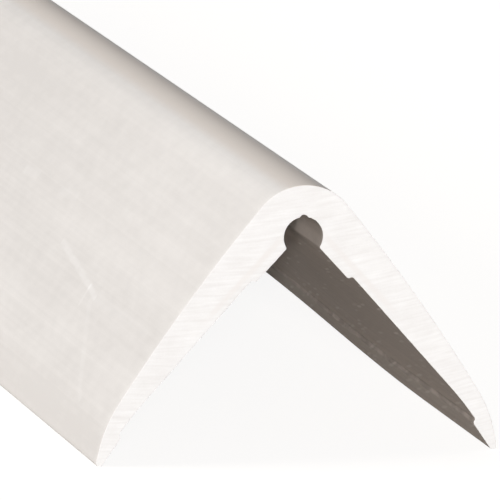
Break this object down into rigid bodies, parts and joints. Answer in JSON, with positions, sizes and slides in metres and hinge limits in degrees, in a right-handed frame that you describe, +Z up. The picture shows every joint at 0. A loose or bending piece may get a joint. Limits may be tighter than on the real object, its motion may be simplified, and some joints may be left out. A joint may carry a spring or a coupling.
{
  "type": "corner guard moulding",
  "caption": "Straight length of white plastic corner guard with a rounded crown, tapering legs, shallow tape recesses on the inside and a keyhole groove at the inner corner.",
  "frame": {"origin": "middle of the length, on the floor midway between the toes", "axes": "+Y along the length, away from the sawn end seen in the picture; +Z up through the crown; +X to the right when looking along +Y"},
  "size_m": [0.0396, 1, 0.0263],
  "materials": {
    "white_plastic": "satin extruded plastic with sawn ends"
  },
  "bodies": {
    "root": {"corner_guard": "white_plastic"}
  },
  "joints": []
}
